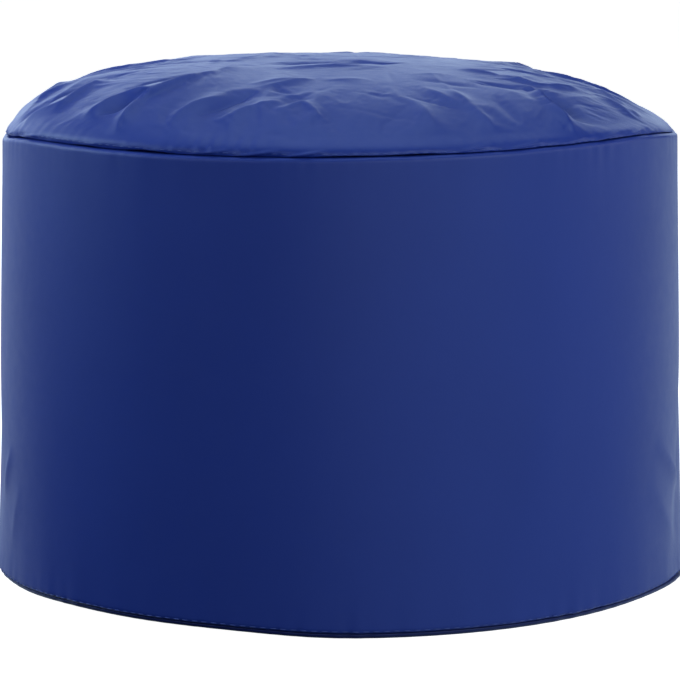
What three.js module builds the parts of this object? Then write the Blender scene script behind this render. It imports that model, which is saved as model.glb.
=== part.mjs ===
// Bean bag footstool: a round, bead-filled seat sewn from three pieces of coated woven cloth, which are
// a domed top panel, one side band and a round base panel. Each panel's solid holds the filling behind it,
// so the three stack into the filled body, with the sewn seams as the fine gaps between them.
//
// Millimetres, +Z up. The origin is the middle of the base, on the floor, and the front faces -Y.
// Angles go round the stool from the front (0) over the right side (+90, at +X) to the back (180).

import * as THREE from "three";

// Sewn outline
const SEAM_RADIUS = 246.5; // top seam, where the top panel meets the side band
const SEAM_HEIGHT = 335; // top seam above the floor
const SEAM_LEAN = 1.4; // how much higher the top seam stands at the right, and lower at the left
const SEAM_WAVE = 1; // how far it then dips at the front left and back right
const SEAM_WAVE_AT = -20; // angle of that front dip
const SIDE_DIP = 10; // how far the seam sags at the left and the right side
const SIDE_DIP_POWER = 16; // higher keeps that sag closer to the side
const BASE_SEAM_RADIUS = 254.5; // base seam, where the side band meets the base panel
const BASE_SEAM_HEIGHT = 4;
const SEAM_GAP = 0.3; // between neighbouring panels

// Filled form
const CROWN_HEIGHT = 45.9; // middle of the top panel above its seam
const LEFT_SHOULDER = 0.55; // share of the crown that is a broad shoulder there, over a plain dome
const RIGHT_SHOULDER = 0.24; // the filling has settled away from this side
const SHOULDER_POWER = 8; // higher makes the shoulder squarer
const LEFT_TUCK = 0; // how far the sewn edge draws the crown down beside it
const RIGHT_TUCK = 1.6;
const TUCK_INSIDE = 18; // from the top seam in to the middle of the tuck
const TUCK_WIDTH = 18;
const LEVEL_POWER = 6; // higher keeps the ups and downs of the sewn edge nearer to it
const WALL_RADIUS = 249.8; // the wall just under its turn in to the top seam
const SLUMP = 6.8; // how much further it stands out near the floor
const SLUMP_POWER = 1.2; // over 1 keeps the wall straighter towards the top
const TOP_ROLL = 5; // height over which the wall turns in to the top seam
const BASE_ROLL = 4; // height over which the wall turns in to the base seam
const FLAT_RADIUS = 250; // what rests flat on the floor

// Mesh spacing
const CLOTH_STEP = 8.4; // between points on the top panel
const EDGE_RINGS = [0.8, 3.2]; // rings this far inside the top seam, where the crown is steep
const BAND_POINTS = 120; // round the side band and the base
const CLOTH_BLUE = 0x2a3d82;

const DEGREE = Math.PI / 180;

// Folds in the top panel, which run in from the seam over the shoulder. "at" is the angle of the outer end
// and "swing" the turn to the inner end, in degrees. "outer" and "inner" are the ends' distances from the
// middle. "rise" is the height of a ridge, or below 0 the depth of a trough. All but the angles are in mm.
const TOP_FOLDS = [
  { at: -94, swing: 5, outer: 240, inner: 150, rise: 1.4, width: 12 },
  { at: -79, swing: 4, outer: 238, inner: 140, rise: -4.6, width: 15 },
  { at: -71, swing: 6, outer: 246, inner: 150, rise: 2.8, width: 11 },
  { at: -55, swing: 8, outer: 236, inner: 90, rise: 4.4, width: 12 },
  { at: -48, swing: 0, outer: 236, inner: 168, rise: -4.8, width: 12 },
  { at: -42, swing: -4, outer: 244, inner: 172, rise: 3, width: 9 },
  { at: -42, swing: 2, outer: 180, inner: 92, rise: -3, width: 13 },
  { at: -32, swing: 7, outer: 226, inner: 140, rise: 3.6, width: 12 },
  { at: -22, swing: -2, outer: 214, inner: 134, rise: -3.4, width: 12 },
  { at: -13, swing: 3, outer: 232, inner: 150, rise: 3.6, width: 20 },
  { at: 2, swing: 0, outer: 214, inner: 84, rise: -2.6, width: 13 },
  { at: 6, swing: -4, outer: 156, inner: 78, rise: 2.6, width: 10 },
  { at: 20, swing: 0, outer: 226, inner: 146, rise: -4.6, width: 14 },
  { at: 27, swing: 0, outer: 222, inner: 110, rise: 3.2, width: 9 },
  { at: 34, swing: -3, outer: 230, inner: 130, rise: -2.4, width: 10 },
  { at: 45, swing: 7, outer: 244, inner: 148, rise: 4, width: 10 },
  { at: 52, swing: 4, outer: 232, inner: 150, rise: -4.4, width: 13 },
  { at: 66, swing: -6, outer: 240, inner: 104, rise: 3, width: 16 },
  { at: 78, swing: 3, outer: 240, inner: 160, rise: -3.2, width: 11 },
  { at: 91, swing: -5, outer: 240, inner: 150, rise: 1.6, width: 13 },
  { at: 106, swing: 5, outer: 236, inner: 130, rise: -3.6, width: 14 },
  { at: 117, swing: -3, outer: 244, inner: 140, rise: 3.6, width: 12 },
  { at: 131, swing: 6, outer: 230, inner: 96, rise: -3.6, width: 15 },
  { at: 143, swing: 2, outer: 240, inner: 150, rise: 3.8, width: 12 },
  { at: 158, swing: -5, outer: 234, inner: 138, rise: -4.2, width: 13 },
  { at: 170, swing: 4, outer: 242, inner: 120, rise: 3.4, width: 13 },
  { at: 186, swing: 3, outer: 236, inner: 142, rise: -4, width: 12 },
  { at: 199, swing: -6, outer: 244, inner: 150, rise: 3.6, width: 12 },
  { at: 212, swing: 4, outer: 228, inner: 104, rise: -3.8, width: 15 },
  { at: 226, swing: -2, outer: 242, inner: 146, rise: 3.8, width: 12 },
  { at: 241, swing: 5, outer: 236, inner: 136, rise: -3.6, width: 14 },
  { at: 256, swing: 3, outer: 240, inner: 148, rise: 2.4, width: 11 },
];

// Long soft folds across the flat middle of the top panel: the middle of each, its direction in plan
// measured from +X in degrees, and its half length, depth and width in mm.
const CROSS_FOLDS = [
  { x: -5, y: -40, turn: 3, half: 60, depth: 3.4, width: 12 },
  { x: 30, y: 52, turn: -12, half: 74, depth: 2.8, width: 15 },
  { x: -62, y: 24, turn: 38, half: 52, depth: 2.4, width: 13 },
];

// Dents in the side band: the middle of each by its angle and height, the slant of its long axis from
// upright in degrees, and its half length, half width and depth in mm.
const BAND_DENTS = [
  { at: -84, height: 92, slant: -16, half: 48, width: 15, depth: 2.6 },
  { at: 80, height: 84, slant: 24, half: 58, width: 15, depth: 3 },
  { at: 97, height: 210, slant: -12, half: 74, width: 26, depth: 2 },
  { at: 138, height: 120, slant: 18, half: 66, width: 20, depth: 2.6 },
  { at: 176, height: 236, slant: -8, half: 62, width: 24, depth: 2 },
  { at: 214, height: 104, slant: -20, half: 60, width: 18, depth: 2.8 },
  { at: 247, height: 190, slant: 14, half: 76, width: 26, depth: 2 },
];

// The smallest turn between two angles, in degrees.
const turnBetween = (a, b) => ((((a - b) % 360) + 540) % 360) - 180;

const bell = (x) => Math.exp(-x * x);

// Blends from a value at the left side to one at the right, by the angle.
const leftToRight = (left, right, angle) => left + ((right - left) * (1 + Math.sin(angle * DEGREE))) / 2;

// The sewn edge isn't quite level.
function seamHeight(angle) {
  const wave = Math.cos((angle - SEAM_WAVE_AT) * 2 * DEGREE);
  const dip = SIDE_DIP * Math.sin(angle * DEGREE) ** SIDE_DIP_POWER;
  return SEAM_HEIGHT + leftToRight(-SEAM_LEAN, SEAM_LEAN, angle) - SEAM_WAVE * wave - dip;
}

// A radial fold, highest halfway along it and fading to nothing at its ends and sides.
function foldHeight({ at, swing, outer, inner, rise, width }, radius, angle) {
  const along = (outer - radius) / (outer - inner);
  if (along <= 0 || along >= 1) return 0;
  const across = radius * DEGREE * turnBetween(angle, at + swing * along);
  return rise * Math.sin(Math.PI * along) * bell(across / width);
}

function crossFoldDepth({ x, y, turn, half, depth, width }, px, py) {
  const c = Math.cos(turn * DEGREE);
  const s = Math.sin(turn * DEGREE);
  const along = ((px - x) * c + (py - y) * s) / half;
  const across = ((py - y) * c - (px - x) * s) / width;
  return depth * bell(along) * bell(across);
}

const planPoint = (radius, angle) => [radius * Math.sin(angle * DEGREE), -radius * Math.cos(angle * DEGREE)];

// Top of the filled crown above the floor.
function crownTop(radius, angle) {
  const share = radius / SEAM_RADIUS;
  const shoulder = leftToRight(LEFT_SHOULDER, RIGHT_SHOULDER, angle);
  const dome = (1 - shoulder) * (1 - share ** 2) + shoulder * Math.sqrt(1 - share ** SHOULDER_POWER);
  const fromTuck = (SEAM_RADIUS - TUCK_INSIDE - radius) / TUCK_WIDTH;
  const tuck = leftToRight(LEFT_TUCK, RIGHT_TUCK, angle) * bell(fromTuck);
  const [x, y] = planPoint(radius, angle);
  const folds = TOP_FOLDS.reduce((sum, fold) => sum + foldHeight(fold, radius, angle), 0);
  const dips = CROSS_FOLDS.reduce((sum, fold) => sum + crossFoldDepth(fold, x, y), 0);
  const seam = SEAM_HEIGHT + (seamHeight(angle) - SEAM_HEIGHT) * share ** LEVEL_POWER;
  return seam + CROWN_HEIGHT * dome - tuck + folds - dips;
}

function dentDepth({ at, height, slant, half, width, depth }, z, angle) {
  const round = SEAM_RADIUS * DEGREE * turnBetween(angle, at);
  const up = z - height;
  const along = up * Math.cos(slant * DEGREE) + round * Math.sin(slant * DEGREE);
  const across = round * Math.cos(slant * DEGREE) - up * Math.sin(slant * DEGREE);
  return depth * bell(along / half) * bell(across / width);
}

// A quarter round: 1 at a seam, where "away" is 0, and 0 from where "away" is 1.
const turnIn = (away) => 1 - Math.sqrt(1 - (1 - Math.min(Math.max(away, 0), 1)) ** 2);

// Radius of the side band's wall. It slumps outwards towards the floor and turns in at both seams.
function wallRadius(z, angle) {
  const share = (z - BASE_SEAM_HEIGHT) / (SEAM_HEIGHT - BASE_SEAM_HEIGHT);
  const slumped = WALL_RADIUS + SLUMP * (1 - Math.min(share, 1) ** SLUMP_POWER);
  const topTurn = (WALL_RADIUS - SEAM_RADIUS) * turnIn((seamHeight(angle) - z) / TOP_ROLL);
  const baseTurn = (WALL_RADIUS + SLUMP - BASE_SEAM_RADIUS) * turnIn((z - BASE_SEAM_HEIGHT) / BASE_ROLL);
  const dents = BAND_DENTS.reduce((sum, dent) => sum + dentDepth(dent, z, angle), 0);
  return slumped - topTurn - baseTurn - dents;
}

// One ring of points round the stool, counter-clockwise seen from above. "place" turns an angle into a
// radius and a height.
function ring(count, place) {
  return Array.from({ length: count }, (_, i) => {
    const angle = (360 * i) / count;
    const [radius, z] = place(angle);
    return [...planPoint(radius, angle), z];
  });
}

// A closed body through rings of points, listed from the middle of its underside to the middle of its
// top. The rings may differ in count, and the two ends are single points.
function loft(rings) {
  const corners = [];
  const addFace = (a, b, c) => corners.push(...a, ...b, ...c);
  rings.slice(1).forEach((upper, k) => {
    const lower = rings[k];
    for (let i = 0, j = 0; i < lower.length || j < upper.length; ) {
      const stepLower = (i + 1) / lower.length < (j + 1) / upper.length;
      const [a, b] = [lower[i % lower.length], upper[j % upper.length]];
      if (stepLower || j === upper.length) {
        i += 1;
        if (lower.length > 1) addFace(a, lower[i % lower.length], b);
      } else {
        j += 1;
        if (upper.length > 1) addFace(a, upper[j % upper.length], b);
      }
    }
  });
  const geometry = new THREE.BufferGeometry();
  geometry.setAttribute("position", new THREE.Float32BufferAttribute(corners, 3));
  geometry.computeVertexNormals();
  return geometry;
}

// A panel's node, with the cloth's finish.
function panel(name, geometry) {
  const cloth = new THREE.MeshStandardMaterial({ color: CLOTH_BLUE, roughness: 0.42, metalness: 0 });
  const mesh = new THREE.Mesh(geometry, cloth);
  mesh.name = name;
  return mesh;
}

// Top panel: its underside lies on the side band, along the seam, and its rings close in over the crown.
function topPanel() {
  const rimCount = Math.round((2 * Math.PI * SEAM_RADIUS) / CLOTH_STEP);
  const steps = Math.round(SEAM_RADIUS / CLOTH_STEP);
  const rings = [
    [[0, 0, SEAM_HEIGHT + SEAM_GAP / 2]],
    ring(rimCount, (angle) => [SEAM_RADIUS, seamHeight(angle) + SEAM_GAP / 2]),
  ];
  const radii = EDGE_RINGS.map((inside) => SEAM_RADIUS - inside);
  for (let step = 1; step < steps; step += 1) radii.push(SEAM_RADIUS * (1 - step / steps));
  for (const radius of radii) {
    const count = Math.max(6, Math.round((2 * Math.PI * radius) / CLOTH_STEP));
    rings.push(ring(count, (angle) => [radius, crownTop(radius, angle)]));
  }
  rings.push([[0, 0, crownTop(0, 0)]]);
  return loft(rings);
}

// Side band: one strip sewn into a tube, from the base seam to the top seam, held out by the filling.
function sideBand() {
  const low = BASE_SEAM_HEIGHT + SEAM_GAP / 2;
  const fromBase = [0, BASE_ROLL / 4, BASE_ROLL, 10, 20, 36, 60, 88, 118, 150, 182, 214, 246, 276, 300];
  const rings = [[[0, 0, low]]];
  for (const up of fromBase) {
    rings.push(ring(BAND_POINTS, (angle) => [wallRadius(low + up, angle), low + up]));
  }
  for (const down of [TOP_ROLL, TOP_ROLL / 2, TOP_ROLL / 5, SEAM_GAP / 2]) {
    const place = (angle) => seamHeight(angle) - down;
    rings.push(ring(BAND_POINTS, (angle) => [wallRadius(place(angle), angle), place(angle)]));
  }
  rings.push([[0, 0, SEAM_HEIGHT - SEAM_GAP / 2]]);
  return loft(rings);
}

// Base panel: flat on the floor, turned up at its edge to the base seam.
function basePanel() {
  const high = BASE_SEAM_HEIGHT - SEAM_GAP / 2;
  const turnUp = (share) => [
    FLAT_RADIUS + share * (BASE_SEAM_RADIUS - FLAT_RADIUS),
    high * (1 - Math.sqrt(1 - share ** 2)),
  ];
  const edge = [0, 0.6, 1].map((share) => ring(BAND_POINTS, () => turnUp(share)));
  return loft([[[0, 0, 0]], ...edge, [[0, 0, high]]]);
}

const footstool = new THREE.Group();
footstool.add(panel("top_panel", topPanel()), panel("side_band", sideBand()), panel("base_panel", basePanel()));

export default footstool;
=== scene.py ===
"""A round bean bag footstool: a drum of coated nylon cloth, domed on top by the beads that fill it.

Metres, +Z up. The origin is the middle of the base, on the floor, and the front faces -Y. Angles go round
the stool from the front over the right side, at +X, to the back.
"""

import bpy
import numpy as np
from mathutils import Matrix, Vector


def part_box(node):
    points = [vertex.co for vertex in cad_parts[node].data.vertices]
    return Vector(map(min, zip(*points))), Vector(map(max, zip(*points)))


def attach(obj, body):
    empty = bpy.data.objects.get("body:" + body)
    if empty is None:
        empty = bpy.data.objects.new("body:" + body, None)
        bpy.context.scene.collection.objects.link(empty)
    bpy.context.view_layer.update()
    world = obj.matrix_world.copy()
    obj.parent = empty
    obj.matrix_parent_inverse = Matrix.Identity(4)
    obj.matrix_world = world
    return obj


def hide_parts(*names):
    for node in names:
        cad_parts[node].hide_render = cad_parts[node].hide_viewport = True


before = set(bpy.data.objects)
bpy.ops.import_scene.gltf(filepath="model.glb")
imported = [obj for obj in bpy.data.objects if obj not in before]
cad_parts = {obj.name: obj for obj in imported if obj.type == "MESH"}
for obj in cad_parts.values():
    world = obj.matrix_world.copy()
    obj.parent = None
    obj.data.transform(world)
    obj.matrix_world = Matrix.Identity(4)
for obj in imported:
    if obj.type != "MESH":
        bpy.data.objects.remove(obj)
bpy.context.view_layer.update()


# Camera: in front of the stool and a little above it, far enough back that the drum's sides stay almost
# upright in the picture. The focal length fills the picture's width with the stool.
camera_back = 2.8
camera_height = 0.623
camera_dip = 0.1608
camera_sensor = 36
camera_lens = 200.1

camera_data = bpy.data.cameras.new("camera")
camera_data.sensor_width = camera_sensor
camera_data.lens = camera_lens
camera_data.clip_end = 60
camera = bpy.data.objects.new("camera", camera_data)
camera.location = (0, -camera_back, camera_height)
camera.rotation_euler = (np.pi / 2 - camera_dip, 0, 0)
bpy.context.scene.collection.objects.link(camera)
bpy.context.scene.camera = camera


# Floor and studio: a white floor before white paper, which only the camera sees. The stool is lit by soft
# boxes, with cool ones at the left, behind and overhead, and by a cool glow low in the room behind it.
class Tone:
    """A socket in a node tree: a number, a colour or a vector. Sums and products of numbers, and a
    number less a socket, add Math nodes, and any other node comes from add()."""

    def __init__(self, tree, socket=None):
        self.tree = tree
        self.socket = socket

    def add(self, kind, settings=None, sockets=None, output=0):
        """Adds a node of this kind, sets its settings and then its sockets, and gives one output."""
        node = self.tree.nodes.new(kind)
        for name, setting in (settings or {}).items():
            setattr(node, name, setting)
        for name, value in (sockets or {}).items():
            if isinstance(value, Tone):
                self.tree.links.new(value.socket, node.inputs[name])
            else:
                node.inputs[name].default_value = value
        return Tone(self.tree, node.outputs[output] if len(node.outputs) else None)

    def math(self, operation, *values):
        """A Math node on these numbers or sockets."""
        return self.add("ShaderNodeMath", {"operation": operation}, dict(enumerate(values)))

    def __add__(self, other):
        return self.math("ADD", self, other)

    def __radd__(self, other):
        return self.math("ADD", other, self)

    def __rsub__(self, other):
        return self.math("SUBTRACT", other, self)

    def __mul__(self, other):
        return self.math("MULTIPLY", self, other)

    def __rmul__(self, other):
        return self.math("MULTIPLY", other, self)


def new_material(name):
    """An empty material, and a Tone to start its nodes from."""
    material = bpy.data.materials.new(name)
    material.use_nodes = True
    material.node_tree.nodes.clear()
    return material, Tone(material.node_tree)


floor_reach = 30
floor_white = (0.93, 0.93, 0.93, 1)
floor_mesh = bpy.data.meshes.new("floor")
floor_corners = [(-floor_reach, -floor_reach, 0), (floor_reach, -floor_reach, 0),
                 (floor_reach, floor_reach, 0), (-floor_reach, floor_reach, 0)]
floor_mesh.from_pydata(floor_corners, [], [(0, 1, 2, 3)])
floor = bpy.data.objects.new("floor", floor_mesh)
floor.visible_diffuse = False
floor.visible_glossy = False
bpy.context.scene.collection.objects.link(floor)
floor_material, nodes = new_material("studio_floor")
floor_shader = nodes.add("ShaderNodeBsdfPrincipled",
                         sockets={"Base Color": floor_white, "Roughness": 0.9, "Specular IOR Level": 0,
                                  "Emission Color": (1, 1, 1, 1), "Emission Strength": 1.0})
nodes.add("ShaderNodeOutputMaterial", sockets={"Surface": floor_shader})
floor_material.cycles.emission_sampling = "NONE"
floor_mesh.materials.append(floor_material)

to_right, to_back, upward = 0, 1, 2
cool = (0.68, 0.84, 1.0)
cooler = (0.60, 0.78, 1.0)
rear_left_glow = 1.02
rear_left_floor_glow = 0.35
rear_floor_glow = 0.67
right_floor_glow = 0.48
rear_right_floor_glow = 0.20

world = bpy.data.worlds.new("studio")
world.use_nodes = True
world.node_tree.nodes.clear()
sky = Tone(world.node_tree)
direction = sky.add("ShaderNodeTexCoord", output=0)


def facing(axis, start, full):
    """How far the sky's direction leans along an axis: 0 up to start, 1 from full on, smooth between."""
    lean = sky.add("ShaderNodeSeparateXYZ", sockets={0: direction}, output=axis)
    return sky.add("ShaderNodeMapRange", {"interpolation_type": "SMOOTHSTEP"},
                   {"Value": lean, "From Min": start, "From Max": full})


above = facing(upward, -0.05, 0.05)
rear = facing(to_back, 0.4, 0.8)
low_rear_left = above * (1 - facing(upward, 0.25, 0.5)) * rear * (1 - facing(to_right, -0.4, 0.0))
floor_glow = (facing(to_back, 0.4, 0.9) * rear_floor_glow + facing(to_right, -0.2, 0.8) * right_floor_glow
              + rear * facing(to_right, 0.0, 0.4) * rear_right_floor_glow
              + rear * (1 - facing(to_right, -0.4, 0.0)) * rear_left_floor_glow)
glow = low_rear_left * rear_left_glow + (1 - above) * floor_glow
room = sky.add("ShaderNodeBackground", sockets={"Color": (*cool, 1), "Strength": glow})
paper = sky.add("ShaderNodeBackground", sockets={"Color": (1, 1, 1, 1), "Strength": 1.0})
first_sight = sky.add("ShaderNodeLightPath")
seen = sky.add("ShaderNodeMixShader", sockets={0: first_sight, 1: room, 2: paper})
sky.add("ShaderNodeOutputWorld", sockets={"Surface": seen})
bpy.context.scene.world = world
bpy.context.scene.view_settings.view_transform = "Standard"


def soft_box(name, place, width, height, power, colour=(1, 1, 1)):
    """A rectangular light at place that faces the stool, and that the camera doesn't see."""
    light = bpy.data.lights.new(name, "AREA")
    light.color = colour
    light.shape = "RECTANGLE"
    light.size = width
    light.size_y = height
    light.energy = power
    box = bpy.data.objects.new(name, light)
    box.location = place
    box.rotation_euler = (Vector((0, 0, 0.25)) - Vector(place)).to_track_quat("-Z", "Y").to_euler()
    box.visible_camera = False
    bpy.context.scene.collection.objects.link(box)


soft_box("left_box", (-2.0, 0.2, 1.0), 1.4, 1.4, 15.5, cooler)
soft_box("left_near_box", (-1.1, 0.4, 0.8), 0.8, 0.8, 3.1, cool)
soft_box("right_box", (2.0, 0.2, 1.0), 1.4, 1.4, 7.9)
soft_box("back_box", (0, 2.0, 1.5), 2.0, 1.0, 4.7, cool)
soft_box("back_low_box", (0, 2.6, 0.8), 3.0, 1.0, 21.9, cool)
soft_box("overhead_box", (0, 0.2, 1.8), 1.4, 1.4, 8.2, cool)
soft_box("front_left_box", (-1.6, -1.6, 1.2), 1.0, 1.0, 5.3)
soft_box("front_right_box", (1.6, -1.6, 1.2), 1.0, 1.0, 12.3)
soft_box("low_box", (0.3, -2.4, 0.9), 1.4, 0.8, 7.3)


# Top panel: one round of nylon cloth, domed by the beads under it and creased over its shoulder, where the
# beads leave it slack. It is plain woven, coated on the inside, and dyed royal blue.
top_low, top_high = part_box("top_panel")
seam_radius = top_high.x
seam_mean_height = 0.335
seam_lean = 0.0014
seam_wave = 0.001
seam_wave_at = np.radians(-20)
side_dip = 0.010
side_dip_power = 16
crown_height = 0.0459
left_shoulder, right_shoulder = 0.55, 0.24
shoulder_power = 8
left_tuck, right_tuck = 0, 0.0016
tuck_inside = 0.018
tuck_width = 0.018
seam_gap = 0.0002
mm = 0.001


def left_to_right(left, right, angle):
    """Blends from a value at the left side to one at the right by the sine of the angle."""
    return left + (right - left) * (1 + np.sin(angle)) / 2


def seam_height(angle):
    """Height of the top seam: its mean, plus a lean to the right, less a wave of two humps, and less a
    sag at either side, which is a high power of the sine of the angle."""
    wave = seam_wave * np.cos(2 * (angle - seam_wave_at))
    dip = side_dip * np.sin(angle) ** side_dip_power
    return seam_mean_height + left_to_right(-seam_lean, seam_lean, angle) - wave - dip


def crown_rise(radius, angle):
    """Height of the dome over the seam's level. It is a mix of 1 - share^2, a plain dome, and the root of
    1 - share^8, a full round shoulder, with a bell-shaped dip beside the seam."""
    share = np.minimum(radius / seam_radius, 1)
    shoulder = left_to_right(left_shoulder, right_shoulder, angle)
    dome = (1 - shoulder) * (1 - share**2) + shoulder * np.sqrt(1 - share**shoulder_power)
    tuck = left_to_right(left_tuck, right_tuck, angle)
    dip = tuck * np.exp(-(((seam_radius - tuck_inside - radius) / tuck_width) ** 2))
    return crown_height * dome - dip


# Creases, in millimetres: where each one starts and ends from above, its height, below 0 for a trough, and
# its half width.
crease_columns = [(name, float) for name in ("x0", "y0", "x1", "y1", "rise", "width")]
front_creases = np.array([
    # left side
    (-232, -80, -200, -94, 2.2, 4),
    (-200, -94, -163, -40, 3.0, 5),
    (-231, -66, -210, -60, -2.8, 5),
    (-210, -60, -186, -46, -3.2, 5),
    (-230, -44, -204, 20, 2.2, 4),
    (-221, -23, -203, -9, 1.5, 5),
    # left shoulder: a long crest that forks down towards the seam
    (-178, -143, -149, -124, 3.4, 7),
    (-149, -126, -133, -138, 3.0, 6),
    (-133, -138, -95, -92, 3.6, 7),
    (-95, -92, -73, -53, 2.4, 8),
    (-142, -145, -155, -178, 3.0, 4),
    (-167, -149, -143, -140, -4.0, 7),
    (-113, -180, -83, -160, 2.8, 6),
    (-94, -185, -64, -157, -3.8, 7),
    # front
    (-81, -199, -56, -183, 2.4, 6),
    (-56, -183, -42, -182, 1.8, 6),
    (-42, -196, -26, -183, 2.2, 6),
    (-26, -183, -12, -210, 2.2, 5),
    (-60, -128, -24, -118, 1.8, 6),
    (-46, -140, -35, -161, -2.2, 8),
    (-8, -118, 18, -112, 1.0, 6),
    (8, -152, 40, -164, -1.2, 8),
    (45, -160, 84, -176, -1.8, 9),
    (53, -177, 68, -223, 2.0, 8),
    # right shoulder: crests that run down to the seam under a long one round the dome
    (62, -136, 80, -166, 1.6, 6),
    (80, -140, 92, -171, 2.0, 6),
    (92, -171, 106, -199, 1.6, 6),
    (88, -42, 120, -61, 2.0, 6),
    (120, -61, 141, -77, 2.4, 6),
    (141, -77, 174, -62, 3.0, 7),
    (99, -101, 133, -99, -2.8, 6),
    (133, -99, 147, -102, -3.6, 6),
    (150, -104, 166, -146, -5.0, 7),
    (136, -90, 146, -132, 4.6, 4),
    (146, -132, 162, -170, 4.2, 4),
    (187, -25, 205, -54, 2.0, 5),
    (205, -54, 218, -84, 1.8, 5),
    (189, -54, 210, -85, 1.6, 4),
    # across the middle
    (-45, -35, 41, -23, -3.0, 8),
    (-41, -62, 23, -51, 1.6, 8),
    (50, -85, 84, -75, 0.9, 6),
    (58, -106, 98, -118, -1.4, 7),
    (-44, 16, 72, 40, -2.2, 10),
    (-96, 2, -40, 44, 2.2, 9),
], dtype=crease_columns)

# The beads then push them half as high again, and a quarter wider.
pushed_rise, pushed_width = 1.5, 1.25
front_creases["rise"] *= pushed_rise
front_creases["width"] *= pushed_width

# The back of the dome creases the same way, by chance: runs of ridges and troughs that point inwards.
chance = np.random.default_rng(23)
back_count = 34
back_angle = np.radians(np.linspace(80, 262, back_count) + chance.uniform(-3, 3, back_count))
back_outer = chance.uniform(200, 232, back_count)
back_inner = back_outer - chance.uniform(40, 96, back_count)
back_swing = chance.uniform(-0.10, 0.10, back_count)
back_creases = np.zeros(back_count, dtype=crease_columns)
back_creases["x0"] = back_outer * np.sin(back_angle)
back_creases["y0"] = -back_outer * np.cos(back_angle)
back_creases["x1"] = back_inner * np.sin(back_angle + back_swing)
back_creases["y1"] = -back_inner * np.cos(back_angle + back_swing)
back_creases["rise"] = chance.uniform(2.4, 4.2, back_count) * np.where(np.arange(back_count) % 2, -1, 1)
back_creases["width"] = chance.uniform(6, 10, back_count)

# Between them run fine creases all over the dome, in any direction.
fine_count = 120
fine_angle = chance.uniform(0, 2 * np.pi, fine_count)
fine_out = 222 * np.sqrt(chance.uniform(0, 1, fine_count))
fine_turn = chance.uniform(0, np.pi, fine_count)
fine_half = chance.uniform(12, 40, fine_count)
fine_creases = np.zeros(fine_count, dtype=crease_columns)
fine_creases["x0"] = fine_out * np.sin(fine_angle) - fine_half * np.cos(fine_turn)
fine_creases["y0"] = -fine_out * np.cos(fine_angle) - fine_half * np.sin(fine_turn)
fine_creases["x1"] = fine_out * np.sin(fine_angle) + fine_half * np.cos(fine_turn)
fine_creases["y1"] = -fine_out * np.cos(fine_angle) + fine_half * np.sin(fine_turn)
fine_creases["rise"] = chance.uniform(0.4, 1.1, fine_count) * np.where(np.arange(fine_count) % 2, -1, 1)
fine_creases["width"] = chance.uniform(3, 6, fine_count)


def crease_height(crease, x, y):
    """Height of one crease over the plan point (x, y). Along its line it swells and fades as a half
    sine that runs a little past both ends, and across it falls as e^-(distance / width), with the
    crest rounded over a millimetre."""
    run_x, run_y = (crease["x1"] - crease["x0"]) * mm, (crease["y1"] - crease["y0"]) * mm
    length = np.hypot(run_x, run_y)
    from_x, from_y = x - crease["x0"] * mm, y - crease["y0"] * mm
    along = (from_x * run_x + from_y * run_y) / length**2
    across = (from_x * run_y - from_y * run_x) / length
    swell = np.sin(np.pi * np.clip((along + 0.2) / 1.4, 0, 1))
    crest = 1.1 * mm
    fall = np.exp(-(np.sqrt(across**2 + crest**2) - crest) / (crease["width"] * mm))
    return crease["rise"] * mm * swell * fall


def round_places(radius, angle, height):
    """Points at these distances from the middle, angles round the stool and heights."""
    return np.stack(np.broadcast_arrays(radius * np.sin(angle), -radius * np.cos(angle), height), -1)


def round_grid(cells):
    """A square grid of cells carried onto the unit disc. The ring of the square at distance s from its
    middle becomes the circle of radius s, and its points are spread evenly round that circle."""
    u, v = np.meshgrid(np.linspace(-1, 1, cells + 1), np.linspace(-1, 1, cells + 1), indexing="ij")
    u_leads = np.abs(u) > np.abs(v)
    reach = np.where(u_leads, u, v)
    ratio = np.where(u_leads, v, u) / np.where(reach == 0, 1, reach)
    turn = np.where(u_leads, np.pi / 4 * ratio, np.pi / 2 - np.pi / 4 * ratio)
    return reach * np.cos(turn), reach * np.sin(turn)


def grid_faces(index):
    """The four-cornered faces of a grid of point numbers, facing up where the rows run with +X and the
    columns with +Y."""
    return np.stack([index[:-1, :-1], index[1:, :-1], index[1:, 1:], index[:-1, 1:]], -1).reshape(-1, 4)


def new_piece(name, points, faces, cloth_place=None):
    """A smooth-shaded object from points and faces. cloth_place gives each point's place on the flat
    cloth, in metres, and goes into the piece's UV map."""
    mesh = bpy.data.meshes.new(name)
    mesh.from_pydata(points.tolist(), [], [list(face) for face in faces])
    mesh.polygons.foreach_set("use_smooth", np.ones(len(mesh.polygons), bool))
    if cloth_place is not None:
        corner_points = np.zeros(len(mesh.loops), np.int32)
        mesh.loops.foreach_get("vertex_index", corner_points)
        layer = mesh.uv_layers.new(name="cloth")
        layer.data.foreach_set("uv", cloth_place[corner_points].ravel())
    mesh.update()
    piece = bpy.data.objects.new(name, mesh)
    bpy.context.scene.collection.objects.link(piece)
    return piece


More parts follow.
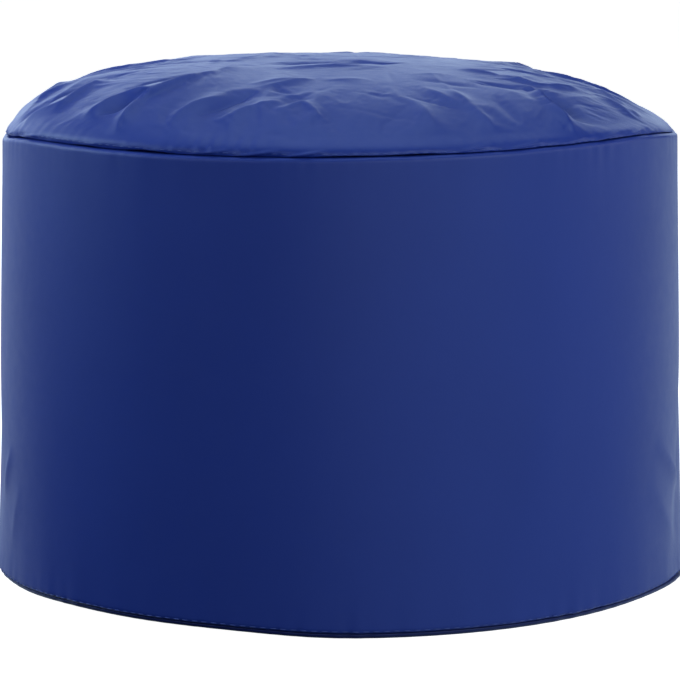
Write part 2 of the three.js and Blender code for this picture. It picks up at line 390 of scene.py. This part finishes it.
def settle(points, faces, held, taut, growth, pressure, frames):
    """Lets a cloth settle over its filling, with Blender's cloth simulation. held says which points the
    seam holds. The cloth grows by the share growth where taut is 0 and not at all where it is 1, which
    gives the slack that a filling leaves, and it is pressed outwards all the while."""
    cloth = new_piece("settling", points, faces)
    for name, weights in (("held", held.astype(float)), ("taut", taut)):
        group = cloth.vertex_groups.new(name=name)
        for step in np.unique(np.round(weights, 2)):
            members = np.flatnonzero(np.round(weights, 2) == step)
            group.add(members.tolist(), float(step), "REPLACE")
    modifier = cloth.modifiers.new("cloth", "CLOTH")
    cloth_settings = modifier.settings
    cloth_settings.quality = 7
    cloth_settings.mass = 0.15
    cloth_settings.air_damping = 3
    cloth_settings.tension_stiffness = cloth_settings.compression_stiffness = 40
    cloth_settings.shear_stiffness = 20
    cloth_settings.bending_stiffness = 0.5
    cloth_settings.tension_damping = cloth_settings.compression_damping = cloth_settings.shear_damping = 20
    cloth_settings.bending_damping = 1
    cloth_settings.vertex_group_mass = "held"
    cloth_settings.vertex_group_shrink = "taut"
    cloth_settings.shrink_min = -growth
    cloth_settings.shrink_max = 0
    cloth_settings.use_pressure = True
    cloth_settings.uniform_pressure_force = pressure
    cloth_settings.effector_weights.gravity = 0
    modifier.collision_settings.use_collision = False
    modifier.collision_settings.use_self_collision = False
    modifier.point_cache.frame_start = 1
    modifier.point_cache.frame_end = frames
    for step in range(1, frames + 1):
        bpy.context.scene.frame_set(step)
    settled = cloth.evaluated_get(bpy.context.evaluated_depsgraph_get())
    places = np.zeros(len(points) * 3, np.float32)
    settled.data.vertices.foreach_get("co", places)
    bpy.context.scene.frame_set(1)
    mesh = cloth.data
    bpy.data.objects.remove(cloth)
    bpy.data.meshes.remove(mesh)
    return places.reshape(-1, 3).astype(float)


def uneven(angle, slowest, fastest, seed):
    """An uneven wave round the stool: the sum of every whole number of waves from slowest to fastest,
    each with a height and a start by chance, scaled so that it seldom passes 1 or -1."""
    chance = np.random.default_rng(seed)
    counts = np.arange(slowest, fastest + 1)
    heights = chance.uniform(0.3, 1, len(counts))
    starts = chance.uniform(0, 2 * np.pi, len(counts))
    waves = heights * np.sin(np.asarray(angle)[..., None] * counts + starts)
    return waves.sum(-1) / (2 * np.sqrt((heights**2).sum() / 2))


def without_folds(move, rounds):
    """The slow part of a movement over the grid, with none at its rim: each round moves every inner point
    half way to the mean of its four neighbours."""
    slow = move.copy()
    for _ in range(rounds):
        around = slow[:-2, 1:-1] + slow[2:, 1:-1] + slow[1:-1, :-2] + slow[1:-1, 2:]
        slow[1:-1, 1:-1] = (slow[1:-1, 1:-1] + around / 4) / 2
    return slow


def finer(values, cells):
    """Carries values on a coarse grid to one of this many cells. Along each direction it follows the
    cubic through the four nearest values."""
    coarse = len(values) - 1
    place = np.linspace(0, coarse, cells + 1)
    first = np.minimum(place.astype(int), coarse - 1)
    t = place - first
    shares = np.stack([2 * t**2 - t - t**3, 2 - 5 * t**2 + 3 * t**3,
                       t + 4 * t**2 - 3 * t**3, t**3 - t**2]) / 2
    spread = np.zeros((cells + 1, coarse + 1))
    for step, share in zip((-1, 0, 1, 2), shares):
        np.add.at(spread, (np.arange(cells + 1), np.clip(first + step, 0, coarse)), share)
    return np.einsum("ai,bj,ijk->abk", spread, spread, values, optimize=True)


grid_radius = seam_radius - 5 * mm
coarse_cells, fine_cells = 112, 272


def crown_grid(cells):
    """A round grid of this many cells over the dome: its plan places, their distances from the middle
    and their angles."""
    x, y = (part * grid_radius for part in round_grid(cells))
    return x, y, np.hypot(x, y), np.arctan2(x, -y)


dome_creases = [*front_creases, *back_creases, *fine_creases]

# Where the beads have settled: broad bells, as the middle, the depth and the width in millimetres. A
# depth below 0 is a swell.
dome_hollows = [(165, 75, 2.8, 58), (-140, 80, 2.2, 58), (-224, 15, -3.2, 21)]
level_power = 6
smooth_edge = 9 * mm


def crown_surface(radius, angle):
    """Height of the creased crown: the seam's level, which fades inwards as share^6, plus the dome, plus
    the creases less the hollows, which die out over the last 9 mm before the seam."""
    share = radius / seam_radius
    level = seam_mean_height + (seam_height(angle) - seam_mean_height) * share**level_power
    x, y = radius * np.sin(angle), -radius * np.cos(angle)
    creases = sum(crease_height(crease, x, y) for crease in dome_creases)
    hollows = sum(depth * mm * np.exp(-((x - at_x * mm) ** 2 + (y - at_y * mm) ** 2) / (width * mm) ** 2)
                  for at_x, at_y, depth, width in dome_hollows)
    inside = np.clip((seam_radius - radius) / smooth_edge, 0, 1)
    return level + crown_rise(radius, angle) + inside**2 * (3 - 2 * inside) * (creases - hollows)


# The cloth settles on a coarse grid, and the folds that it adds there go on to the fine one. It is slack in
# the middle of the dome and taut towards the seam.
slack_within, taut_beyond = 0.208, 0.232
most_move = 0.012
slow_rounds = 200

grid_x, grid_y, grid_r, grid_angle = crown_grid(fine_cells)
crown_points = np.stack([grid_x, grid_y, crown_surface(grid_r, grid_angle)], -1)
coarse_x, coarse_y, coarse_r, coarse_angle = crown_grid(coarse_cells)
laid = np.stack([coarse_x, coarse_y, crown_surface(coarse_r, coarse_angle)], -1)
held = coarse_r.ravel() > grid_radius * (1 - 1e-6)
taut = np.clip((coarse_r.ravel() - slack_within) / (taut_beyond - slack_within), 0, 1)
coarse_faces = grid_faces(np.arange(coarse_r.size).reshape(coarse_r.shape))
settled = settle(laid.reshape(-1, 3), coarse_faces, held, taut, growth=0.018, pressure=2.0, frames=24)
move = settled.reshape(laid.shape) - laid
folds = move - without_folds(move, slow_rounds)
far = np.linalg.norm(folds, axis=-1, keepdims=True)
folds = folds * np.minimum(1, most_move / np.maximum(far, 1e-9))
crown_points = crown_points + finer(folds, fine_cells)
crown_points = crown_points.reshape(-1, 3)
crown_faces = grid_faces(np.arange(len(crown_points)).reshape(grid_x.shape))
crown_rim = np.flatnonzero(grid_r.ravel() > grid_radius * (1 - 1e-6))
crown_rim = crown_rim[np.argsort(grid_angle.ravel()[crown_rim])]
rim_angle = grid_angle.ravel()[crown_rim]

# Beside the seam the cloth is gathered by its stitches, in puckers 12 mm apart that fade inwards.
gather_reach = 11 * mm


def crown_gather(inside, angle):
    """How far a pucker stands out at this distance inside the seam."""
    depth = uneven(angle, 95, 160, 3) * (0.55 + 0.5 * uneven(angle, 6, 14, 4))
    return 0.45 * mm * depth * np.exp(-((inside / gather_reach) ** 2))


# Just over the seam lie little folds, and the filling swells the panel's edge out over it.
fold_count = 41
fold_climb = 4.5 * mm
fold_half = 0.9 * mm
fold_stand = 1.9 * mm
left_puff, right_puff = 2.2 * mm, 1.2 * mm
puff_rise = 5 * mm
puff_half = 5 * mm
seam_pull = 1.2 * mm


def little_fold(rise, angle):
    """How far the little folds over the seam stand out at this rise above it. Each one leaves the seam,
    climbs evenly round the stool and swells and fades as a half sine. Across it is bell-shaped, and
    whole stretches of the seam have none."""
    phase = fold_count * angle / (2 * np.pi) + 0.5 * uneven(angle, 3, 9, 31)
    share = phase - np.floor(phase)
    full = np.clip(0.5 + 1.1 * uneven(angle, 4, 11, 32), 0, 1)
    across = (rise - fold_climb * share) / fold_half
    return fold_stand * full * np.sin(np.pi * share) * np.exp(-across**2)


def puff(rise, angle):
    """How far the filling pushes the panel out over its seam: a bell over the rise above the seam, larger
    at the left, less its own value on the seam."""
    bell = np.exp(-(((rise - puff_rise) / puff_half) ** 2)) - np.exp(-((puff_rise / puff_half) ** 2))
    return left_to_right(left_puff, right_puff, angle) * np.maximum(bell, 0)


def seam_tuck(angle):
    """How far the seam pulls the lip in, in short stretches."""
    return seam_pull * np.clip(uneven(angle, 9, 40, 33), 0, 1)


point_r = np.hypot(crown_points[:, 0], crown_points[:, 1])
point_angle = np.arctan2(crown_points[:, 0], -crown_points[:, 1])
pushed = 1 + puff(crown_points[:, 2] - seam_height(point_angle), point_angle) / np.maximum(point_r, mm)
crown_points[:, 0] *= pushed
crown_points[:, 1] *= pushed
crown_points[:, 2] += crown_gather(seam_radius - point_r, point_angle)

# The edge of the panel drops to the seam, rounds into it as a lip, and the cloth closes under the filling.
edge_inside = np.array([4.2, 3.4, 2.7, 2.1, 1.6, 1.15, 0.8, 0.5, 0.3]) * mm
lip_rise = np.array([1.1, 0.8, 0.5, 0.3, 0.25]) * mm
lip_inside = np.array([0.2, 0.25, 0.5, 1.1, 2.2]) * mm
pulled = seam_tuck(rim_angle)

# In long stretches the lip stands off the seam, by up to three quarters of its height, over a dark gap.
lip_top = left_to_right(2.4, 1.3, rim_angle) * mm
lifted = 0.75 * np.clip(0.1 + 1.2 * uneven(rim_angle, 6, 30, 35), 0, 1)
crown_rings = []
for inside in edge_inside:
    stand = crown_gather(inside, rim_angle)
    height = crown_surface(seam_radius - inside, rim_angle) + 0.5 * stand
    rise = height - seam_height(rim_angle)
    stand = 0.8 * stand + little_fold(rise, rim_angle) + puff(rise, rim_angle) - pulled * np.exp(-inside / mm)
    crown_rings.append(round_places(seam_radius - inside + stand, rim_angle, height))
for lip_step, inside in zip(lip_rise, lip_inside):
    rise = lip_step + (lip_top - lip_step) * lifted
    stand = 0.8 * crown_gather(0, rim_angle) * lip_step / lip_rise[0]
    stand = stand + little_fold(rise, rim_angle) + puff(rise, rim_angle)
    crown_rings.append(round_places(seam_radius - inside + stand - pulled, rim_angle,
                                    seam_height(rim_angle) + rise))
under_radius = 0.95 * seam_radius
crown_rings.append(round_places(under_radius, rim_angle, seam_height(rim_angle) + seam_gap))
rim_size = len(crown_rim)
edge_points = np.vstack([crown_points, *crown_rings])
edge_index = len(crown_points) + np.arange(len(crown_rings) * rim_size).reshape(-1, rim_size)
edge_index = np.vstack([crown_rim, edge_index])
edge_faces = grid_faces(np.hstack([edge_index, edge_index[:, :1]]))


def halved_disc(ring, start, radius, height):
    """Closes a ring of points, numbered in ring at even angles anticlockwise from above, by rings with half
    as many points each time and a middle point, all at one height. It gives the new points, which are
    numbered from start, and the faces, which look down."""
    points, faces = [], []
    while len(ring) % 2 == 0:
        half = start + np.arange(len(ring) // 2)
        start += len(half)
        radius = 0.65 * radius
        angle = rim_angle[0] + 2 * np.pi * np.arange(len(half)) / len(half)
        points.append(round_places(radius, angle, height))
        near, between, far = ring[0::2], ring[1::2], np.roll(ring[0::2], -1)
        next_half = np.roll(half, -1)
        faces += [*np.stack([near, half, between], -1), *np.stack([between, half, next_half], -1),
                  *np.stack([between, next_half, far], -1)]
        ring = half
    points.append([(0, 0, height)])
    faces += [*np.stack([ring, np.full(len(ring), start), np.roll(ring, -1)], -1)]
    return np.vstack(points), faces


disc_points, disc_faces = halved_disc(edge_index[-1], len(edge_points), under_radius,
                                      seam_mean_height + seam_gap)
top_points = np.vstack([edge_points, disc_points])
top_faces = [*crown_faces, *edge_faces, *disc_faces]
top_cover = new_piece("top_cover", top_points, top_faces, top_points[:, :2])

# The cloth itself: a close plain weave under a thin coat, so it has a soft satin gloss.
blue_deep = (0.0170, 0.0460, 0.3250, 1)
blue_light = (0.0210, 0.0570, 0.3950, 1)
thread_pitch = 0.00045


def cover_cloth(name, deep, light):
    """Coated nylon between two blues. The weave runs with the UV map, in metres on the flat cloth."""
    material, nodes = new_material(name)
    flat = nodes.add("ShaderNodeUVMap", {"uv_map": "cloth"})
    along = nodes.add("ShaderNodeSeparateXYZ", sockets={0: flat}, output=0)
    across = nodes.add("ShaderNodeSeparateXYZ", sockets={0: flat}, output=1)
    turns = np.pi / thread_pitch
    weave = nodes.math("SINE", along * turns) * nodes.math("SINE", across * turns)
    place = nodes.add("ShaderNodeTexCoord", output=3)
    slub = nodes.add("ShaderNodeTexNoise", sockets={"Vector": flat, "Scale": 900.0, "Detail": 3.0})
    crinkle = nodes.add("ShaderNodeTexNoise", sockets={"Vector": place, "Scale": 95.0, "Detail": 4.0,
                                                       "Roughness": 0.55})
    broad = nodes.add("ShaderNodeTexNoise", sockets={"Vector": place, "Scale": 9.0, "Detail": 3.0})
    height = weave * 0.12 + slub * 0.25 + crinkle * 1.0
    bump = nodes.add("ShaderNodeBump", sockets={"Strength": 0.22, "Distance": 0.0006, "Height": height})
    shade = broad * 0.8 + slub * 0.2
    blue = nodes.add("ShaderNodeMix", {"data_type": "RGBA"}, {0: shade, 6: deep, 7: light}, output=2)
    gloss = 0.40 + 0.12 * crinkle
    cloth = nodes.add("ShaderNodeBsdfPrincipled", sockets={
        "Base Color": blue, "Roughness": gloss, "Normal": bump, "IOR": 1.5,
        "Specular Tint": (0.75, 0.90, 1.0, 1)})
    nodes.add("ShaderNodeOutputMaterial", sockets={"Surface": cloth})
    return material


cloth_material = cover_cloth("blue_nylon", blue_deep, blue_light)
top_cover.data.materials.append(cloth_material)
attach(top_cover, "root")
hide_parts("top_panel")


# Side band: one strip of the same nylon sewn into a tube, held out smooth by the beads. It slumps a little
# outwards towards the floor, is gathered along both seams, and closes in an upright seam at the back.
base_seam_radius = 0.2545
base_seam_height = 0.004
slump = 0.0068
slump_power = 1.2
wall_top_radius = 0.2498
top_roll = 0.003
base_roll = 0.004

# Dents in the band: the angle round the stool and the slant in degrees, the rest in millimetres. A depth
# below 0 is a swell.
dent_columns = [(name, float) for name in ("at", "height", "slant", "half", "width", "depth")]
band_dents = np.array([
    (-84, 92, -16, 48, 15, 2.6), (80, 84, 24, 58, 15, 3.0), (97, 210, -12, 74, 26, 2.0),
    (138, 120, 18, 66, 20, 2.6), (176, 236, -8, 62, 24, 2.0), (214, 104, -20, 60, 18, 2.8),
    (247, 190, 14, 76, 26, 2.0), (33, 125, 8, 70, 26, -2.0)], dtype=dent_columns)

# Creases in the band, as in the dome, but with x round the stool and y up it.
band_creases = np.array([
    (285, 104, 342, 66, 2.4, 6), (272, 75, 317, 30, 1.2, 8), (-304, 99, -320, 68, 1.8, 5),
    (-285, 73, -299, 35, 0.9, 6), (388, 292, 414, 236, 1.3, 8), (455, 60, 500, 104, 1.5, 8),
    (548, 300, 570, 262, 1.2, 7), (-388, 288, -420, 240, 1.3, 8), (-470, 44, -505, 92, 1.5, 8),
    (-560, 296, -590, 250, 1.2, 7), (640, 70, 668, 38, 1.2, 7)], dtype=crease_columns)


def dent_depth(dent, height, angle):
    """Depth of one dent: a bell along its slanted line times a bell across it."""
    round_off = seam_radius * (np.mod(angle - np.radians(dent["at"]) + np.pi, 2 * np.pi) - np.pi)
    up = height - dent["height"] * mm
    slant = np.radians(dent["slant"])
    along = (up * np.cos(slant) + round_off * np.sin(slant)) / (dent["half"] * mm)
    across = (round_off * np.cos(slant) - up * np.sin(slant)) / (dent["width"] * mm)
    return dent["depth"] * mm * np.exp(-along**2 - across**2)


def turn_in(away):
    """A quarter round: 1 at a seam, where away is 0, and 0 from where away is 1."""
    return 1 - np.sqrt(1 - (1 - np.clip(away, 0, 1)) ** 2)


def wall_radius(height, angle):
    """Radius of the band's wall: its radius at the top plus a slump that fades upwards as share to a
    power, less a quarter round in to each seam and less its dents."""
    up = height - base_seam_height
    share = np.clip(up / (seam_mean_height - base_seam_height), 0, 1)
    slumped = wall_top_radius + slump * (1 - share**slump_power)
    top_turn = (wall_top_radius - seam_radius) * turn_in((seam_height(angle) - height) / top_roll)
    base_turn = (wall_top_radius + slump - base_seam_radius) * turn_in(up / base_roll)
    round_off = seam_radius * (np.mod(angle + np.pi, 2 * np.pi) - np.pi)
    creases = sum(crease_height(crease, round_off, height) for crease in band_creases)
    dents = sum(dent_depth(dent, height, angle) for dent in band_dents)
    return slumped - top_turn - base_turn - dents + creases


def band_gathers(down, up, angle):
    """Gathers beside the seams, down from the top seam and up from the base seam: uneven waves some
    12 mm apart that fade within about a finger's width, over slow swells of a few tenths of a
    millimetre that cover the whole band."""
    top = uneven(angle, 95, 160, 7) * (0.55 + 0.5 * uneven(angle, 5, 12, 8)) * np.exp(-down / 0.010)
    top = top + 0.5 * uneven(angle, 20, 55, 9) * np.exp(-down / 0.035)
    base = uneven(angle, 80, 140, 10) * (0.6 + 0.5 * uneven(angle, 5, 12, 11)) * np.exp(-up / 0.009)
    base = base + 0.6 * uneven(angle, 18, 50, 12) * np.exp(-up / 0.030)
    return (0.42 * top + 0.5 * base) * mm


# The base's edge lifts off the floor at the front left and spreads at both sides: how far, at which angle
# round the stool and over how many degrees to each side.
base_lift, lift_at, lift_half = 3.6 * mm, -34, 26
right_spread, right_at, right_half = 3.5 * mm, 78, 14
left_spread, left_at, left_half = 2.5 * mm, -80, 9
lie_height = 70 * mm
lie_from, lie_full = 215 * mm, 250 * mm


def uneven_base(points):
    """Moves points near the floor to the uneven line that the base takes. The lift goes round the stool as
    e^-(turn^4) and both spreads as bells, with the right one doubled on the floor itself. All of it fades
    upwards and inwards as a square."""
    x, y, z = points.T
    radius, turn = np.hypot(x, y), np.degrees(np.arctan2(x, -y))
    low = np.clip(1 - z / lie_height, 0, 1)
    outer = np.clip((radius - lie_from) / (lie_full - lie_from), 0, 1)
    near = low**2 * outer**2
    lift = base_lift * near * np.exp(-(((turn - lift_at) / lift_half) ** 4))
    at_floor = np.clip(1 - z / base_seam_height, 0, 1)
    right = right_spread * (1 + at_floor) * np.exp(-(((turn - right_at) / right_half) ** 2))
    left = left_spread * np.exp(-(((turn - left_at) / left_half) ** 2))
    spread = 1 + near * (right + left) / np.maximum(radius, mm)
    return np.stack([x * spread, y * spread, z + lift], -1)


column_count = 560
back_seam = np.pi
back_fine = back_seam + np.linspace(-0.05, 0.05, 61)
column_angle = np.linspace(0, 2 * np.pi, column_count, endpoint=False)
column_angle = np.concatenate([column_angle[np.abs(column_angle - back_seam) > 0.052], back_fine])
column_angle = np.sort(column_angle)
top_downs = np.array([0.15, 0.3, 0.7, 1.3, 2.1, 3.1, 4.3, 6, 8, 10.5, 13.5, 17, 21, 26, 32]) * mm
base_ups = np.array([0.15, 0.4, 0.8, 1.4, 2.2, 3.2, 4.4, 6, 8, 10.5, 13.5, 17, 21, 26]) * mm
wall_shares = np.linspace(0, 1, 62)[1:-1]
lowest = base_seam_height + base_ups[-1]
highest = seam_mean_height - top_downs[-1]
row_height = np.concatenate([base_seam_height + base_ups, lowest + (highest - lowest) * wall_shares,
                             seam_mean_height - top_downs[::-1]])
rows, columns = np.meshgrid(row_height, column_angle, indexing="ij")
rise_share = np.clip((rows - lowest) / (highest - lowest), 0, 1)
band_z = rows + (seam_height(columns) - seam_mean_height) * rise_share**2
down = np.maximum(seam_height(columns) - band_z, 0)
up = np.maximum(band_z - base_seam_height, 0)
band_r = wall_radius(band_z, columns) + band_gathers(down, up, columns)

# Each seam draws the cloth in to a groove, and at the back the strip's end laps over with a groove beside.
groove_depth, top_groove_half, base_groove_half = 1.6 * mm, 0.6 * mm, 0.8 * mm
lap_thick, lap_at, lap_half = 0.9 * mm, 4.5 * mm, 3.6 * mm
back_groove_depth, back_groove_half = 1.1 * mm, 0.9 * mm
groove = np.clip(1 + 0.9 * uneven(columns, 8, 45, 34), 0.25, 2)
band_r = band_r - groove_depth * (groove * np.exp(-down / top_groove_half) + np.exp(-up / base_groove_half))
beside = (columns - back_seam) * seam_radius
band_r = band_r + lap_thick * np.exp(-(((beside - lap_at) / lap_half) ** 4))
band_r = band_r - back_groove_depth * np.exp(-((beside / back_groove_half) ** 2))
band_points = round_places(band_r, columns, band_z).reshape(-1, 3)

band_index = np.arange(band_z.size).reshape(band_z.shape)
band_index = np.hstack([band_index, band_index[:, :1]])
wall_faces = grid_faces(band_index.T)
top_lid = [(a, b, band_z.size) for a, b in zip(band_index[-1, :-1], band_index[-1, 1:])]
base_lid = [(b, a, band_z.size + 1) for a, b in zip(band_index[0, :-1], band_index[0, 1:])]
lid_middles = [(0, 0, seam_mean_height - seam_gap), (0, 0, base_seam_height + seam_gap)]
band_points = np.vstack([band_points, lid_middles])
band_flat = np.stack([(columns * seam_radius), band_z], -1).reshape(-1, 2)
band_flat = np.vstack([band_flat, [(0, 0.6), (0, -0.3)]])
band_cover = new_piece("band_cover", uneven_base(band_points), [*wall_faces, *top_lid, *base_lid], band_flat)
band_cover.data.materials.append(cloth_material)
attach(band_cover, "root")
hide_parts("side_band")


# Base panel: a round of the same nylon, under the beads, flat on the floor. Its edge turns up all
# round to the base seam, where it is gathered into the band. Its blue is darker than the rest, as
# painted shade for the dark edge where the base meets the floor.
flat_radius = 0.250
base_columns = 420
base_angle = np.linspace(0, 2 * np.pi, base_columns, endpoint=False)
flat_rings = np.array([0.25, 0.5, 0.75, 0.9, 1.0]) * flat_radius
quarter = np.linspace(0, 1, 9)[1:] * np.pi / 2
ring_r = np.concatenate([flat_rings, flat_radius + (base_seam_radius - flat_radius) * np.sin(quarter)])
ring_z = np.concatenate([np.zeros(5), (base_seam_height - 0.3 * mm) * (1 - np.cos(quarter))])
ring_r = np.concatenate([ring_r, [base_seam_radius - 1.2 * mm, 0.9 * flat_radius, 0.5 * flat_radius]])
ring_z = np.concatenate([ring_z, np.full(3, base_seam_height - 0.2 * mm)])
gathered = np.clip((ring_r - flat_radius) / (base_seam_radius - flat_radius), 0, 1)[:, None]
base_out = 0.45 * mm * uneven(base_angle, 80, 140, 10)[None] * gathered
base_r = ring_r[:, None] + base_out
base_points = round_places(base_r, base_angle, ring_z[:, None]).reshape(-1, 3)
base_index = np.arange(len(base_points)).reshape(base_r.shape)
base_index = np.hstack([base_index, base_index[:, :1]])
base_faces = grid_faces(base_index.T)
under_lid = [(b, a, len(base_points)) for a, b in zip(base_index[0, :-1], base_index[0, 1:])]
over_lid = [(a, b, len(base_points) + 1) for a, b in zip(base_index[-1, :-1], base_index[-1, 1:])]
base_points = np.vstack([base_points, [(0, 0, 0), (0, 0, base_seam_height - 0.2 * mm)]])
base_faces = [*base_faces, *under_lid, *over_lid]
base_cover = new_piece("base_cover", uneven_base(base_points), base_faces, base_points[:, :2])
# Painted shade: the base panel gets a darker blue than the cloth above, to darken its edge by the floor.
base_shade_deep = (0.0065, 0.0150, 0.1250, 1)
base_shade_light = (0.0085, 0.0200, 0.1550, 1)
base_cover.data.materials.append(cover_cloth("base_shade_nylon", base_shade_deep, base_shade_light))
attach(base_cover, "root")
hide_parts("base_panel")


# Stitches: lockstitch in blue thread. One row runs along the top panel's edge, beside the seam, one on the
# band just over the base seam, and one down the back beside the band's closing seam.
thread_radius = 0.0004


def stitch_row(name, middles, runs, outs, length):
    """A row of stitches. Each one lies along its run, a unit vector, about its middle, and humps outwards
    along its out, a unit vector, as 1 - t^2 for t from -1 at one end to 1 at the other. A ring of six
    points goes round it at each of seven steps, and each end is closed by a six-sided face."""
    steps = np.linspace(-1, 1, 7)
    turns = np.linspace(0, 2 * np.pi, 6, endpoint=False)
    sides = np.cross(runs, outs)
    thick = thread_radius * np.sqrt(np.clip(1.08 - steps**2, 0.05, 1))
    line = middles[:, None] + runs[:, None] * (steps * length / 2)[None, :, None]
    line = line + outs[:, None] * (thread_radius * (0.4 - steps**2))[None, :, None]
    round_it = (sides[:, None, None] * np.cos(turns)[None, None, :, None]
                + outs[:, None, None] * np.sin(turns)[None, None, :, None])
    points = line[:, :, None] + round_it * thick[None, :, None, None]
    ring = np.arange(6 * len(steps)).reshape(len(steps), 6)
    ring = np.hstack([ring, ring[:, :1]])
    body = grid_faces(ring)
    per_stitch = 6 * len(steps)
    firsts = np.arange(len(middles))[:, None, None] * per_stitch
    body_faces = (firsts + body[None]).reshape(-1, 4)
    start_caps = (firsts[:, 0] + ring[0, :6][None]).reshape(-1, 6)
    end_caps = (firsts[:, 0] + ring[-1, :6][::-1][None]).reshape(-1, 6)
    piece = new_piece(name, points.reshape(-1, 3), [*body_faces, *start_caps, *end_caps])
    piece.data.materials.append(thread_material)
    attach(piece, "root")
    return piece


thread_deep = (0.040, 0.085, 0.380, 1)
thread_light = (0.065, 0.125, 0.480, 1)
thread_material, nodes = new_material("blue_thread")
place = nodes.add("ShaderNodeTexCoord", output=3)
fibre = nodes.add("ShaderNodeTexNoise", sockets={"Vector": place, "Scale": 1400.0, "Detail": 2.0})
thread_blue = nodes.add("ShaderNodeMix", {"data_type": "RGBA"},
                        {0: fibre, 6: thread_deep, 7: thread_light}, output=2)
fibre_bump = nodes.add("ShaderNodeBump", sockets={"Strength": 0.3, "Distance": 0.0001, "Height": fibre})
thread_shader = nodes.add("ShaderNodeBsdfPrincipled", sockets={
    "Base Color": thread_blue, "Roughness": 0.5, "Normal": fibre_bump})
nodes.add("ShaderNodeOutputMaterial", sockets={"Surface": thread_shader})

# along the top seam
stitch_length = 4.6 * mm
stitch_count = 224
stitch_angle = (np.arange(stitch_count) + 0.5) * 2 * np.pi / stitch_count
stitch_inside = 0.5 * mm
stitch_stand = crown_gather(stitch_inside, stitch_angle)
line_z = crown_surface(seam_radius - stitch_inside, stitch_angle) + 0.5 * stitch_stand
stitch_rise = line_z - seam_height(stitch_angle)
stitch_pull = seam_tuck(stitch_angle) * np.exp(-stitch_inside / mm)
stitch_stand = 0.8 * stitch_stand + puff(stitch_rise, stitch_angle) - stitch_pull
stitch_line = seam_radius - stitch_inside + stitch_stand
around = round_places(1, stitch_angle + np.pi / 2, 0)
away = round_places(1, stitch_angle, 0)
tilt = np.radians(70)
outward = away * np.sin(tilt) + np.array([0, 0, np.cos(tilt)])
stitch_middle = round_places(stitch_line, stitch_angle, line_z)
stitch_row("top_stitches", stitch_middle, around, outward, stitch_length)

# over the base seam
base_line_z = np.full(stitch_count, base_seam_height + 2.0 * mm)
line_down, line_up = seam_height(stitch_angle) - base_line_z, base_line_z - base_seam_height
base_line_r = wall_radius(base_line_z, stitch_angle) + band_gathers(line_down, line_up, stitch_angle)
base_middle = round_places(base_line_r, stitch_angle, base_line_z)
stitch_row("base_stitches", uneven_base(base_middle), around, away, stitch_length)

# beside the closing seam at the back
back_z = np.arange(0.016, 0.326, 0.0066)
back_at = np.full(len(back_z), back_seam + 5.5 * mm / seam_radius)
back_r = wall_radius(back_z, back_at) + 0.85 * mm
back_middle = round_places(back_r, back_at, back_z)
back_away = round_places(1, back_at, 0)
upright = np.tile([0.0, 0.0, 1.0], (len(back_z), 1))
stitch_row("back_stitches", back_middle, upright, back_away, stitch_length)
